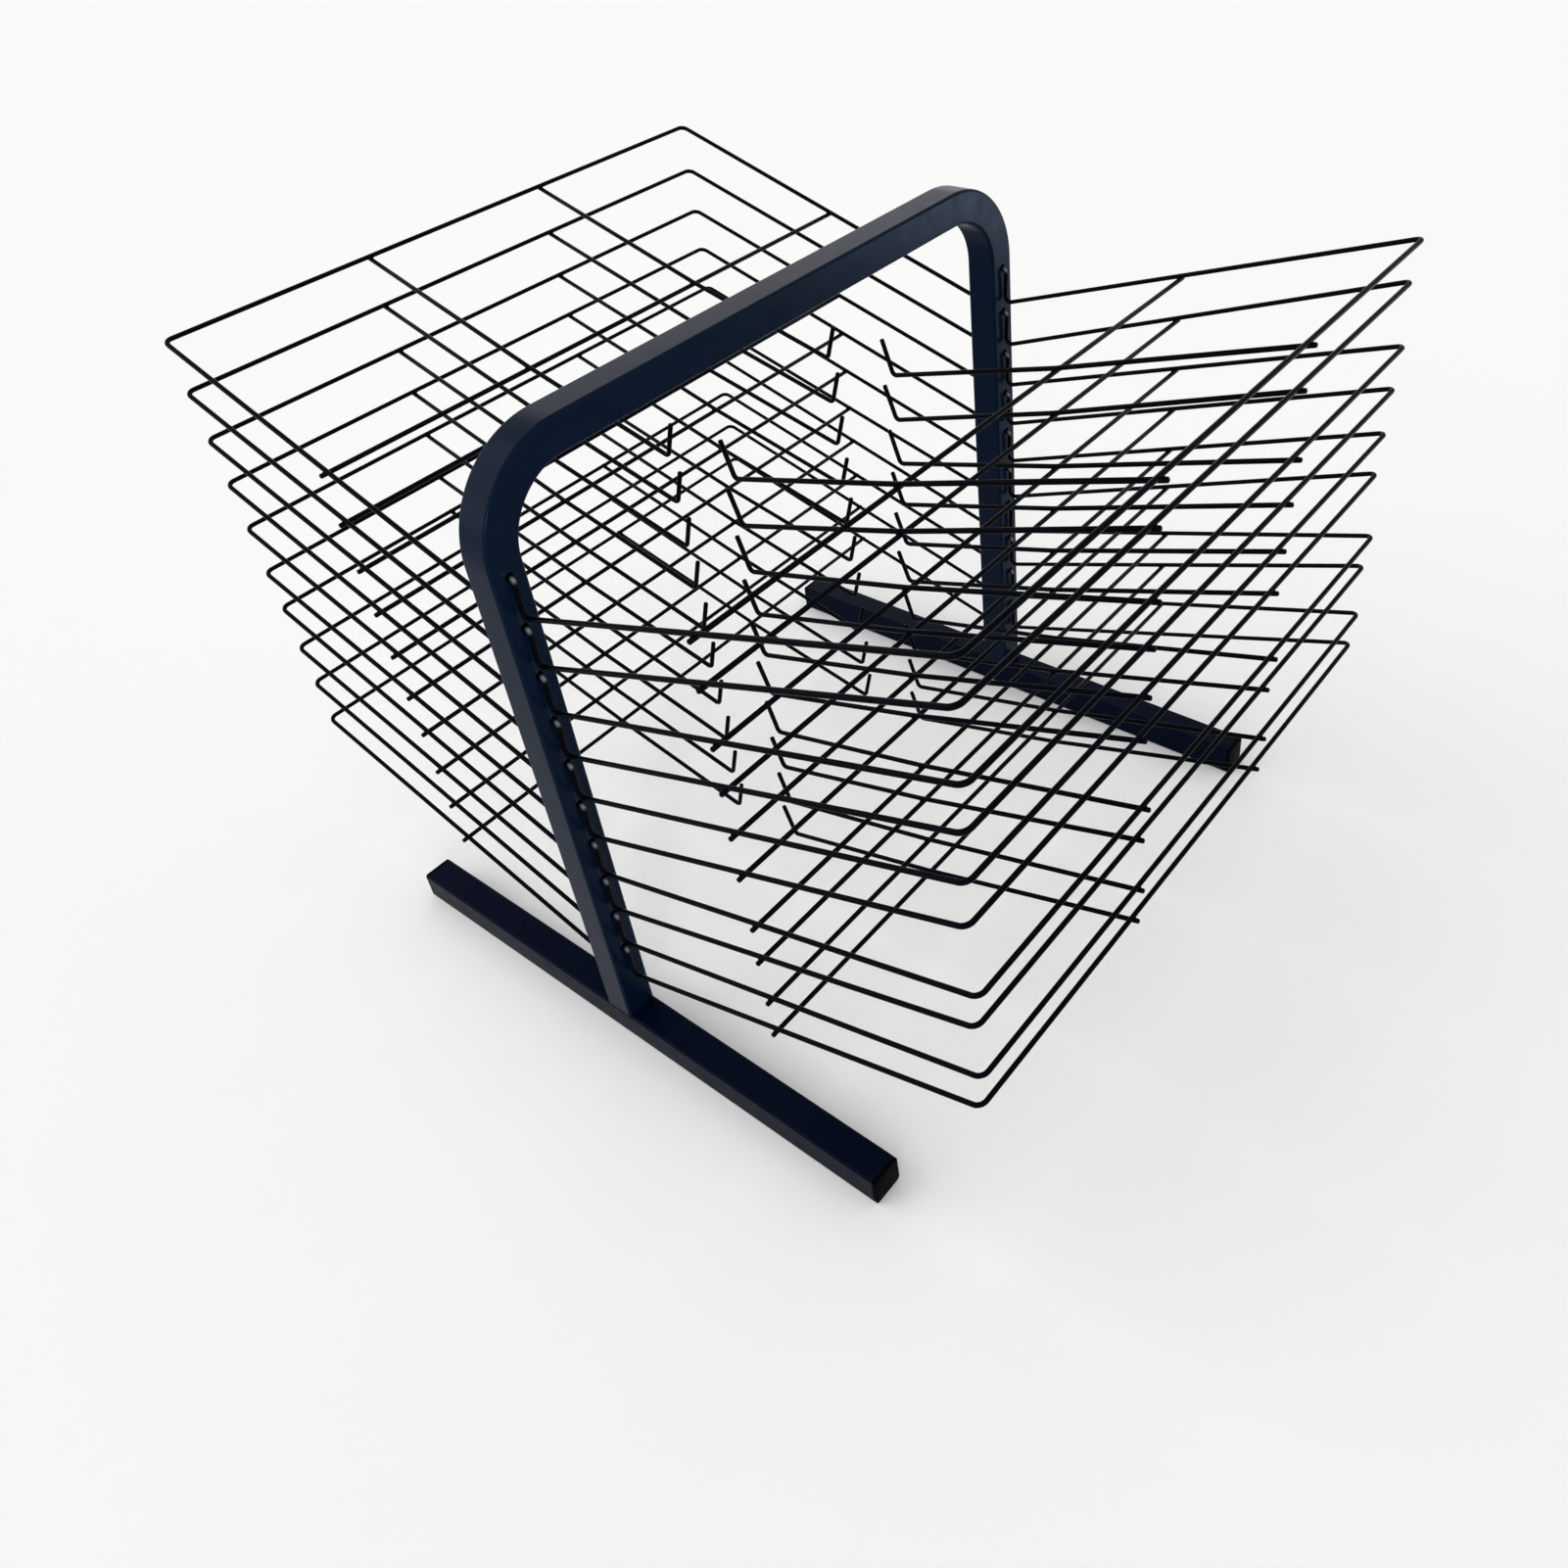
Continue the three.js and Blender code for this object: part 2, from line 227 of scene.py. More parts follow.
def powder_coat(name, hex_value, wear, level, roughness):
    """Satin polyester powder coat, sprayed dry and baked on steel. The powder flows out to a faint
    orange peel, so that highlights are soft and a little broken, and it rubs paler on exposed edges.
    A paler painted glint lies on the outside of each hook's bend. It is dull when seen square on, and
    shines pale grey at a low angle. The level sets how dull."""
    peel_size = 1.8 * MM
    flow_size = 14 * MM
    mottle_size = 90 * MM
    gloss_change = 0.06
    material, tree = new_material(name)
    coat = linear(hex_value)
    place = add_node(tree, "ShaderNodeTexCoord").outputs["Object"]
    mottle = add_node(
        tree,
        "ShaderNodeTexNoise",
        {"Vector": place, "Scale": 1 / mottle_size, "Detail": 3.0, "Roughness": 0.6},
    )
    body = add_node(
        tree,
        "ShaderNodeMix",
        {"Factor": mottle.outputs["Fac"], "A": shaded(coat, 0.86), "B": shaded(coat, 1.16)},
        data_type="RGBA",
    )
    edge = add_node(
        tree,
        "ShaderNodeMapRange",
        {
            "Value": add_node(tree, "ShaderNodeNewGeometry").outputs["Pointiness"],
            "From Min": 0.58,
            "From Max": 0.68,
            "To Min": 0.0,
            "To Max": wear,
        },
    )
    rubbed = add_node(
        tree,
        "ShaderNodeMix",
        {"Factor": edge.outputs["Result"], "A": body.outputs["Result"], "B": linear(WORN_COAT)},
        data_type="RGBA",
    )
    # A painted glint: a paler colour laid on the hooks' bends, as far as the mesh attribute says.
    painted_glint = add_node(tree, "ShaderNodeAttribute", attribute_name=GLINT_ATTRIBUTE)
    with_painted_glint = add_node(
        tree,
        "ShaderNodeMix",
        {"Factor": painted_glint.outputs["Fac"], "A": rubbed.outputs["Result"], "B": linear(PAINTED_GLINT_COLOUR)},
        data_type="RGBA",
    )
    flow = add_node(
        tree,
        "ShaderNodeTexNoise",
        {"Vector": place, "Scale": 1 / flow_size, "Detail": 4.0, "Roughness": 0.55},
    )
    gloss = add_node(
        tree,
        "ShaderNodeMapRange",
        {
            "Value": flow.outputs["Fac"],
            "From Min": 0.3,
            "From Max": 0.7,
            "To Min": roughness - gloss_change,
            "To Max": roughness + gloss_change,
        },
    )
    peel = add_node(tree, "ShaderNodeTexNoise", {"Vector": place, "Scale": 1 / peel_size, "Detail": 2.0})
    bump = add_node(
        tree, "ShaderNodeBump", {"Height": peel.outputs["Fac"], "Strength": 0.22, "Distance": 0.06 * MM}
    )
    shader = add_node(
        tree,
        "ShaderNodeBsdfPrincipled",
        {
            "Base Color": with_painted_glint.outputs["Result"],
            "Roughness": gloss.outputs["Result"],
            "Normal": bump.outputs["Normal"],
            "IOR": 1.5,
            "Specular IOR Level": level,
        },
    )
    add_node(tree, "ShaderNodeOutputMaterial", {"Surface": shader.outputs["BSDF"]})
    return material


def moulded_polyethylene(name, hex_value):
    """Polyethylene from a spark-eroded mould. The mould leaves an even fine grain, so the plastic is
    greyer and more matt than the coat beside it. The grain is drawn coarser than life so that it shows."""
    grain_size = 0.7 * MM
    flow_size = 9 * MM
    material, tree = new_material(name)
    plastic = linear(hex_value)
    place = add_node(tree, "ShaderNodeTexCoord").outputs["Object"]
    flow = add_node(tree, "ShaderNodeTexNoise", {"Vector": place, "Scale": 1 / flow_size, "Detail": 3.0})
    body = add_node(
        tree,
        "ShaderNodeMix",
        {"Factor": flow.outputs["Fac"], "A": shaded(plastic, 0.85), "B": shaded(plastic, 1.25)},
        data_type="RGBA",
    )
    gloss = add_node(
        tree, "ShaderNodeMapRange", {"Value": flow.outputs["Fac"], "To Min": 0.48, "To Max": 0.66}
    )
    grain = add_node(tree, "ShaderNodeTexVoronoi", {"Vector": place, "Scale": 1 / grain_size})
    bump = add_node(
        tree,
        "ShaderNodeBump",
        {"Height": grain.outputs["Distance"], "Strength": 0.3, "Distance": 0.05 * MM},
    )
    shader = add_node(
        tree,
        "ShaderNodeBsdfPrincipled",
        {
            "Base Color": body.outputs["Result"],
            "Roughness": gloss.outputs["Result"],
            "Normal": bump.outputs["Normal"],
            "IOR": 1.51,
            "Specular IOR Level": 0.015,
        },
    )
    add_node(tree, "ShaderNodeOutputMaterial", {"Surface": shader.outputs["BSDF"]})
    return material


def zinc_plated_steel(name, hex_value):
    """Turned steel with a bright zinc plate. The bath leaves a cloudy blue-grey sheen over fine turning
    marks."""
    cloud_size = 5 * MM
    mark_size = 0.4 * MM
    material, tree = new_material(name)
    zinc = linear(hex_value)
    place = add_node(tree, "ShaderNodeTexCoord").outputs["Object"]
    cloud = add_node(tree, "ShaderNodeTexNoise", {"Vector": place, "Scale": 1 / cloud_size, "Detail": 4.0})
    body = add_node(
        tree,
        "ShaderNodeMix",
        {"Factor": cloud.outputs["Fac"], "A": shaded(zinc, 0.8), "B": shaded(zinc, 1.1)},
        data_type="RGBA",
    )
    gloss = add_node(
        tree, "ShaderNodeMapRange", {"Value": cloud.outputs["Fac"], "To Min": 0.26, "To Max": 0.46}
    )
    marks = add_node(
        tree,
        "ShaderNodeTexWave",
        {"Vector": place, "Scale": 0.3 / mark_size, "Distortion": 1.5},
        bands_direction="Z",
    )
    bump = add_node(
        tree, "ShaderNodeBump", {"Height": marks.outputs["Fac"], "Strength": 0.15, "Distance": 0.03 * MM}
    )
    shader = add_node(
        tree,
        "ShaderNodeBsdfPrincipled",
        {
            "Base Color": body.outputs["Result"],
            "Roughness": gloss.outputs["Result"],
            "Normal": bump.outputs["Normal"],
            "Metallic": 1.0,
        },
    )
    add_node(tree, "ShaderNodeOutputMaterial", {"Surface": shader.outputs["BSDF"]})
    return material


def painted_floor(name, hex_value):
    """A smooth floor under matt white paint, with a barely seen unevenness in its tone."""
    patch_size = 400 * MM
    material, tree = new_material(name)
    paint = linear(hex_value)
    place = add_node(tree, "ShaderNodeTexCoord").outputs["Object"]
    patch = add_node(tree, "ShaderNodeTexNoise", {"Vector": place, "Scale": 1 / patch_size, "Detail": 2.0})
    body = add_node(
        tree,
        "ShaderNodeMix",
        {"Factor": patch.outputs["Fac"], "A": shaded(paint, 0.985), "B": shaded(paint, 1.0)},
        data_type="RGBA",
    )
    shader = add_node(
        tree,
        "ShaderNodeBsdfPrincipled",
        {"Base Color": body.outputs["Result"], "Roughness": 0.95, "Specular IOR Level": 0.1},
    )
    add_node(tree, "ShaderNodeOutputMaterial", {"Surface": shader.outputs["BSDF"]})
    return material


# Outlines and paths
def arc(centre_a, centre_b, radius, from_angle, to_angle, steps):
    """Points on an arc in a plane, both ends included, with angles in degrees."""
    angles = [math.radians(from_angle + (to_angle - from_angle) * i / steps) for i in range(steps + 1)]
    return [(centre_a + radius * math.cos(a), centre_b + radius * math.sin(a)) for a in angles]


def rounded_rectangle(width, height, corner, steps):
    """The outline of a rectangle with round corners, centred on zero and counter-clockwise."""
    a = width / 2 - corner
    b = height / 2 - corner
    return (
        arc(a, -b, corner, -90, 0, steps)
        + arc(a, b, corner, 0, 90, steps)
        + arc(-a, b, corner, 90, 180, steps)
        + arc(-a, -b, corner, 180, 270, steps)
    )


def circle(radius, sides):
    """A round outline, counter-clockwise."""
    return arc(0, 0, radius, 0, 360, sides)[:-1]


def frames_along(points):
    """At each point of a path, the two directions that span the section there, with no twist."""
    last = len(points) - 1
    tangents = []
    for i, here in enumerate(points):
        before = here - points[max(i - 1, 0)]
        after = points[min(i + 1, last)] - here
        tangents.append((before.normalized() + after.normalized()).normalized())
    start = Vector((0, 1, 0)) if abs(tangents[0].y) < 0.9 else Vector((1, 0, 0))
    normal = (start - tangents[0] * start.dot(tangents[0])).normalized()
    frames = []
    for tangent in tangents:
        normal = (normal - tangent * normal.dot(tangent)).normalized()
        frames.append((normal, tangent.cross(normal)))
    return frames


def add_rings(mesh, rings):
    """Joins rings of as many points each with a skin of four-sided faces, and returns their vertices."""
    made = [[mesh.verts.new(point) for point in ring] for ring in rings]
    for ring, following in zip(made, made[1:]):
        for i in range(len(ring)):
            j = (i + 1) % len(ring)
            mesh.faces.new((ring[i], ring[j], following[j], following[i]))
    return made


def add_closed_rings(mesh, rings):
    """Rings joined by a skin, with a flat face on each end."""
    made = add_rings(mesh, rings)
    mesh.faces.new(reversed(made[0]))
    mesh.faces.new(made[-1])
    return made


def section_rings(outline, points, scales=None):
    """The outline set square to the path at each of its points, scaled where asked."""
    rings = []
    for i, (point, (normal, binormal)) in enumerate(zip(points, frames_along(points))):
        scale = scales[i] if scales else 1.0
        rings.append([point + normal * (a * scale) + binormal * (b * scale) for a, b in outline])
    return rings


def add_solid_sweep(mesh, outline, points, scales=None):
    """A closed bar of the given section along a path. Returns the vertices of each section."""
    return add_closed_rings(mesh, section_rings(outline, points, scales))


def add_tube_sweep(mesh, outer, inner, points):
    """A tube of two outlines with as many points each along a path, with flat ends."""
    skins = [add_rings(mesh, section_rings(outline, points)) for outline in (outer, inner)]
    for i in range(len(outer)):
        j = (i + 1) % len(outer)
        mesh.faces.new((skins[0][0][j], skins[0][0][i], skins[1][0][i], skins[1][0][j]))
        mesh.faces.new((skins[0][-1][i], skins[0][-1][j], skins[1][-1][j], skins[1][-1][i]))


def to_object(name, mesh, material, sharp_angle=40):
    """Makes an object of a finished mesh, smooth but for its sharp edges."""
    bmesh.ops.recalc_face_normals(mesh, faces=mesh.faces)
    data = bpy.data.meshes.new(name)
    mesh.to_mesh(data)
    mesh.free()
    data.materials.append(material)
    data.shade_smooth()
    data.set_sharp_from_angle(angle=math.radians(sharp_angle))
    made = bpy.data.objects.new(name, data)
    bpy.context.scene.collection.objects.link(made)
    return made


def cut_away(piece, cutter):
    """Cuts one object by another, which is then removed."""
    modifier = piece.modifiers.new("cut", "BOOLEAN")
    modifier.operation = "DIFFERENCE"
    modifier.solver = "EXACT"
    modifier.object = cutter
    finish_modifiers(piece)
    bpy.data.objects.remove(cutter)


def finish_modifiers(piece):
    """Turns a piece's modifiers into its mesh."""
    bpy.context.view_layer.update()
    graph = bpy.context.evaluated_depsgraph_get()
    data = bpy.data.meshes.new_from_object(piece.evaluated_get(graph))
    piece.modifiers.clear()
    old = piece.data
    piece.data = data
    data.name = piece.name
    bpy.data.meshes.remove(old)
    if not data.polygons:
        raise RuntimeError(f"{piece.name} has no faces left")


def soften_edges(piece, width):
    """Rounds the sharp edges as a coating does, and keeps the flats flat."""
    bevel = piece.modifiers.new("coated edges", "BEVEL")
    bevel.width = width
    bevel.segments = 2
    bevel.limit_method = "ANGLE"
    bevel.angle_limit = math.radians(50)
    bevel.use_clamp_overlap = True
    weighted = piece.modifiers.new("flat faces", "WEIGHTED_NORMAL")
    weighted.keep_sharp = False
    finish_modifiers(piece)


def dress(piece, body, slot, *nodes):
    """Sets a piece on its body in place of its plain nodes. The finish slot it is given is not used."""
    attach(piece, body)
    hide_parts(*nodes)


def tube_outlines(sizes):
    """The outer and inner outlines of the square tube."""
    bore = sizes.size - 2 * sizes.wall
    return (
        rounded_rectangle(sizes.size, sizes.size, sizes.corner, TUBE_CORNER_STEPS),
        rounded_rectangle(bore, bore, sizes.corner - sizes.wall, TUBE_CORNER_STEPS),
    )


class RACK_OT_frame(bpy.types.Operator):
    """Bend the frame tube and drill its holes"""

    bl_idname = "rack.frame"
    bl_label = "Frame"

    def execute(self, context):
        sizes = context.scene.rack_tube
        shelf = context.scene.rack_shelf
        side = POST_SPACING / 2
        bend_start = FRAME_HIGH.z - sizes.size / 2 - sizes.bend
        path = (
            [(-side, FRAME_LOW.z)]
            + arc(-side + sizes.bend, bend_start, sizes.bend, 180, 90, TUBE_BEND_STEPS)
            + arc(side - sizes.bend, bend_start, sizes.bend, 90, 0, TUBE_BEND_STEPS)
            + [(side, FRAME_LOW.z)]
        )
        coat = powder_coat(
            "satin_powder_coat_on_tube",
            context.scene.rack_finish.tube_coat,
            wear=0.1,
            level=0.042,
            roughness=0.25,
        )
        mesh = bmesh.new()
        outer, inner = tube_outlines(sizes)
        add_tube_sweep(mesh, outer, inner, [Vector((x, 0, z)) for x, z in path])
        piece = to_object("frame_tube", mesh, coat)

        drills = bmesh.new()
        hole_rise = sizes.hole / 2 - shelf.seat_gap - shelf.wire / 2
        for level in range(1, LEVELS + 1):
            height = JOINTS[f"left_shelf_{level}_tip"]["pos_m"][2] + hole_rise
            for x in (-side, side):
                outline = circle(sizes.hole / 2, HOOK_HOLE_SIDES)
                rings = [[(x + a, y, height + b) for a, b in outline] for y in (-sizes.size, sizes.size)]
                add_closed_rings(drills, rings)
        cut_away(piece, to_object("cross_drills", drills, coat))
        soften_edges(piece, sizes.edge)
        dress(piece, "stand", "frame_coat", "frame")
        return {"FINISHED"}


class RACK_OT_feet(bpy.types.Operator):
    """Make the two foot tubes and drill them"""

    bl_idname = "rack.feet"
    bl_label = "Feet"

    def execute(self, context):
        sizes = context.scene.rack_tube
        # The feet have the frame's coat, painted a little darker as painted shade.
        coat = powder_coat(
            "satin_powder_coat_on_feet_with_painted_shade",
            context.scene.rack_finish.foot_coat,
            wear=0.2,
            level=0.024,
            roughness=0.28,
        )
        for end in ENDS:
            low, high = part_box(f"{end}_foot")
            middle = (low + high) / 2
            mesh = bmesh.new()
            outer, inner = tube_outlines(sizes)
            add_tube_sweep(mesh, outer, inner, [Vector((middle.x, y, middle.z)) for y in (low.y, high.y)])
            piece = to_object(f"{end}_foot_tube", mesh, coat)
            drills = bmesh.new()
            for diameter, bottom, top in (
                (sizes.tool_hole, low.z - sizes.wall, middle.z),
                (sizes.bolt_hole, middle.z, high.z + sizes.wall),
            ):
                outline = circle(diameter / 2, FOOT_HOLE_SIDES)
                rings = [[(middle.x + a, middle.y + b, z) for a, b in outline] for z in (bottom, top)]
                add_closed_rings(drills, rings)
            cut_away(piece, to_object("foot_drills", drills, coat))
            soften_edges(piece, sizes.edge)
            dress(piece, "stand", "foot_coat", f"{end}_foot")
        return {"FINISHED"}


class RACK_OT_caps(bpy.types.Operator):
    """Mould the four foot caps"""

    bl_idname = "rack.caps"
    bl_label = "Foot caps"

    def execute(self, context):
        sizes = context.scene.rack_tube
        plastic = moulded_polyethylene("moulded_polyethylene_cap", context.scene.rack_finish.cap_plastic)
        flange = CAP_HIGH.y - CAP_LOW.y - sizes.cap_plug
        edge = sizes.cap_bevel
        plug = sizes.size - 2 * sizes.wall - sizes.cap_play
        plug_corner = 1 * MM
        nose = 1 * MM  # the length over which the plug's end narrows
        taper = 0.6 * MM
        # Each ring is its width, corner radius and place outward from the tube's end. Three rings round
        # each bevel of the flange.
        rings = [
            (plug - 2 * taper, taper, -sizes.cap_plug),
            (plug, plug_corner, nose - sizes.cap_plug),
            (plug, plug_corner, 0),
            (sizes.size - 2 * edge, sizes.corner, 0),
            (sizes.size - 0.6 * edge, sizes.corner, 0.3 * edge),
            (sizes.size, sizes.corner, edge),
            (sizes.size, sizes.corner, flange - edge),
            (sizes.size - 0.6 * edge, sizes.corner, flange - 0.3 * edge),
            (sizes.size - 2 * edge, sizes.corner, flange),
        ]
        for end in ENDS:
            for side, sign in SIDES.items():
                name = f"{end}_foot_{side}_cap"
                low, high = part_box(name)
                middle = (low + high) / 2
                tube_end = sign * FOOT_LENGTH / 2
                placed = []
                for width, corner, out in rings:
                    outline = rounded_rectangle(width, width, corner, CAP_CORNER_STEPS)
                    placed.append([(middle.x + a, tube_end + sign * out, middle.z + b) for a, b in outline])
                mesh = bmesh.new()
                add_closed_rings(mesh, placed)
                piece = to_object(f"{name}_moulding", mesh, plastic, sharp_angle=50)
                dress(piece, "stand", "cap_plastic", name)
        return {"FINISHED"}


class RACK_OT_fasteners(bpy.types.Operator):
    """Plate the bolts and inserts that hold the feet"""

    bl_idname = "rack.fasteners"
    bl_label = "Bolts and inserts"

    def execute(self, context):
        zinc = zinc_plated_steel("zinc_plated_steel", context.scene.rack_finish.zinc)
        for end in ENDS:
            for name in (f"{end}_foot_bolt", f"{end}_insert"):
                node = frame["nodes"][name]
                node.data.materials.clear()
                node.data.materials.append(zinc)
                node.data.shade_smooth()
                node.data.set_sharp_from_angle(angle=math.radians(35))
        return {"FINISHED"}


def heel_out(sizes):
    """How far the heels stand out from the middle of the post's wall."""
    return TUBE_WALL / 2 + sizes.heel_gap + sizes.wire / 2


def hook_points(sizes, tilt):
    """The side view of an arm's hook, from the tip of its tail inside the post to the start of the arm,
    as (outward, up) from the middle of the wire in its hole."""
    face = TUBE_WALL / 2
    bend = sizes.hook_bend
    tail = arc(-face, bend, bend, 180, 270, WIRE_BEND_STEPS)
    across = face - heel_out(sizes)
    up = sizes.leg_height - bend
    leg = math.degrees(math.atan2(up, across) - math.asin(bend / math.hypot(across, up)))
    top = arc(face, -bend, bend, 90, leg - 90, WIRE_BEND_STEPS)
    slope = math.degrees(tilt)
    to_centre = sizes.heel_bend / math.sin(math.radians(leg - slope) / 2)
    middle = math.radians(leg + slope) / 2
    heel_across = heel_out(sizes) + to_centre * math.cos(middle)
    heel_up = to_centre * math.sin(middle) - sizes.leg_height
    heel = arc(heel_across, heel_up, sizes.heel_bend, leg + 90, 270 + slope, WIRE_BEND_STEPS)
    return [(-face - bend, sizes.tail_rise)] + tail + top + heel


def add_wire(mesh, sizes, points):
    """A round wire along a path, with its cut ends a little rounded by the coating."""
    round_off = 0.4 * MM
    radius = sizes.wire / 2
    first = points[0] + (points[1] - points[0]).normalized() * round_off
    last = points[-1] + (points[-2] - points[-1]).normalized() * round_off
    path = [points[0], first] + points[1:-1] + [last, points[-1]]
    end_scale = 1 - round_off / radius
    scales = [end_scale] + [1.0] * (len(path) - 2) + [end_scale]
    return add_solid_sweep(mesh, circle(radius, WIRE_SIDES), path, scales)


def paint_hook_glint(mesh, rings, centre):
    """Marks the outside of the bend where a hook turns into its hole with a painted glint, most in the
    middle of the bend.
    """
    layer = mesh.verts.layers.float[GLINT_ATTRIBUTE]
    for i, ring in enumerate(rings):
        share = math.sin(math.pi * i / (len(rings) - 1)) ** 3
        middle = sum((vert.co for vert in ring), Vector()) / len(ring)
        outside = (middle - centre).normalized()
        for vert in ring:
            vert[layer] = share * max(0.0, (vert.co - middle).normalized().dot(outside))


def add_weld(mesh, sizes, middle, lift_axis):
    """The small collar of metal squeezed out where two wires are welded."""
    collar = sizes.wire * 0.66
    thickness = sizes.wire * 0.34
    turn = Vector((0, 0, 1)).rotation_difference(lift_axis).to_matrix().to_4x4()
    scale = Matrix.Diagonal((collar, collar, thickness, 1))
    place = Matrix.Translation(middle) @ turn @ scale
    bmesh.ops.create_uvsphere(mesh, u_segments=12, v_segments=6, radius=1, matrix=place)


class RACK_OT_shelves(bpy.types.Operator):
    """Bend and weld the wire shelves of both sides"""

    bl_idname = "rack.shelves"
    bl_label = "Shelves"

    def execute(self, context):
        sizes = context.scene.rack_shelf
        coat = powder_coat(
            "satin_powder_coat_on_wire",
            context.scene.rack_finish.wire_coat,
            wear=0.1,
            level=0.02,
            roughness=0.25,
        )
        for side, sign in SIDES.items():
            tilts = sizes.left_tilts if side == "left" else sizes.right_tilts
            for level in range(1, LEVELS + 1):
                name = f"{side}_shelf_{level}"
                pivot = Vector(JOINTS[f"{name}_tip"]["pos_m"])
                tilt = math.radians(tilts[level - 1])
                piece = self.shelf(context, name, sign, pivot, tilt, coat)
                dress(piece, name, "wire_coat", name)
        return {"FINISHED"}

    def shelf(self, context, name, sign, pivot, tilt, coat):
        sizes = context.scene.rack_shelf
        along, rise = math.cos(tilt), math.sin(tilt)
        side = POST_SPACING / 2
        stack = sizes.wire - sizes.weld_depth

        def put(x, out, up):
            return Vector((sign * x, pivot.y + sign * out, pivot.z + up))

        def place(x, reach, lift):
            out = heel_out(sizes) + reach * along - lift * rise
            return put(x, out, reach * rise + lift * along - sizes.leg_height)

        mesh = bmesh.new()
        mesh.verts.layers.float.new(GLINT_ATTRIBUTE)
        hook = hook_points(sizes, tilt)
        corner = sizes.arm_reach - sizes.rim_corner
        far_corner = arc(side - sizes.rim_corner, corner, sizes.rim_corner, 0, 90, WIRE_BEND_STEPS)
        near_corner = arc(-side + sizes.rim_corner, corner, sizes.rim_corner, 90, 180, WIRE_BEND_STEPS)
        rim = [put(side, out, up) for out, up in hook]
        rim += [place(x, reach, 0) for x, reach in far_corner + near_corner]
        rim += [put(-side, out, up) for out, up in reversed(hook)]
        rings = add_wire(mesh, sizes, rim)
        # The bend outside the hole comes after the tail's tip, its rounded end and its bend.
        bend_start = WIRE_BEND_STEPS + 3
        bend_end = bend_start + WIRE_BEND_STEPS + 1
        # Each hook's top bend gets a painted glint.
        for x, bend in ((side, rings[bend_start:bend_end]), (-side, rings[-bend_end:-bend_start])):
            paint_hook_glint(mesh, bend, put(x, TUBE_WALL / 2, -sizes.hook_bend))

        cross_end = side + sizes.cross_overrun
        add_wire(mesh, sizes, [place(x, sizes.cross_reach, -stack) for x in (-cross_end, cross_end)])

        slope = math.degrees(math.atan2(sizes.stop_lift, sizes.cross_reach - sizes.stop_reach))
        stop = arc(
            sizes.stop_reach + sizes.stop_bend,
            sizes.stop_lift + sizes.stop_bend,
            sizes.stop_bend,
            270 - slope,
            180,
            WIRE_BEND_STEPS,
        )
        inner = [(sizes.arm_reach + sizes.inner_overrun, -stack), (sizes.cross_reach, 0)]
        inner += stop + [(sizes.stop_reach, sizes.stop_lift + sizes.stop_height)]
        inner_places = (-sizes.inner_spacing / 2, sizes.inner_spacing / 2)
        for x in inner_places:
            add_wire(mesh, sizes, [place(x, reach, lift) for reach, lift in inner])

        lift_axis = Vector((0, -sign * rise, along))
        welds = [(x, sizes.cross_reach) for x in (-side, side) + inner_places]
        welds += [(x, sizes.arm_reach) for x in inner_places]
        for x, reach in welds:
            add_weld(mesh, sizes, place(x, reach, -stack / 2), lift_axis)
        return to_object(f"{name}_wires", mesh, coat, sharp_angle=50)


# The camera's place and aim, in the frame, and the picture it makes
IMAGE_SIDE = 1601
CAMERA_PLACE = (-0.52571, -0.52191, 0.72377)
CAMERA_BEARING = math.radians(223.766)
CAMERA_HEIGHT = math.radians(38.163)
CAMERA_ROLL = math.radians(-7.339)
FOCAL_PIXELS = 1333.97
MIDDLE_PIXEL = (858.75, 697.11)
SENSOR = 36

# The studio floor, just below the feet
FLOOR_RADIUS = 25
FLOOR_DROP = 0.2 * MM


def set_camera():
    """Aims the camera along the picture's line of sight."""
    data = bpy.data.cameras.new("picture_camera")
    camera = bpy.data.objects.new("picture_camera", data)
    bpy.context.scene.collection.objects.link(camera)
    level_back = Vector((math.cos(CAMERA_BEARING), math.sin(CAMERA_BEARING), 0))
    back = level_back * math.cos(CAMERA_HEIGHT) + Vector((0, 0, math.sin(CAMERA_HEIGHT)))
    level_right = Vector((0, 0, 1)).cross(back).normalized()
    level_up = back.cross(level_right)
    right = math.cos(CAMERA_ROLL) * level_right + math.sin(CAMERA_ROLL) * level_up
    up = back.cross(right)
    turn = Matrix((right, up, back)).transposed().to_4x4()
    camera.matrix_world = Matrix.Translation(CAMERA_PLACE) @ turn
    data.sensor_width = SENSOR
    data.lens = FOCAL_PIXELS / IMAGE_SIDE * SENSOR
    data.shift_x = (IMAGE_SIDE / 2 - MIDDLE_PIXEL[0]) / IMAGE_SIDE
    data.shift_y = (MIDDLE_PIXEL[1] - IMAGE_SIDE / 2) / IMAGE_SIDE
    data.clip_start = 0.02
    data.clip_end = 100
    bpy.context.scene.camera = camera


def add_light(data, place, aim=(0, 0, 0.25)):
    """Sets a light at a place, facing the middle of the rack or another aim."""
    light = bpy.data.objects.new(data.name, data)
    bpy.context.scene.collection.objects.link(light)
    light.location = place
    light.rotation_euler = (Vector(aim) - Vector(place)).to_track_quat("-Z", "Y").to_euler()


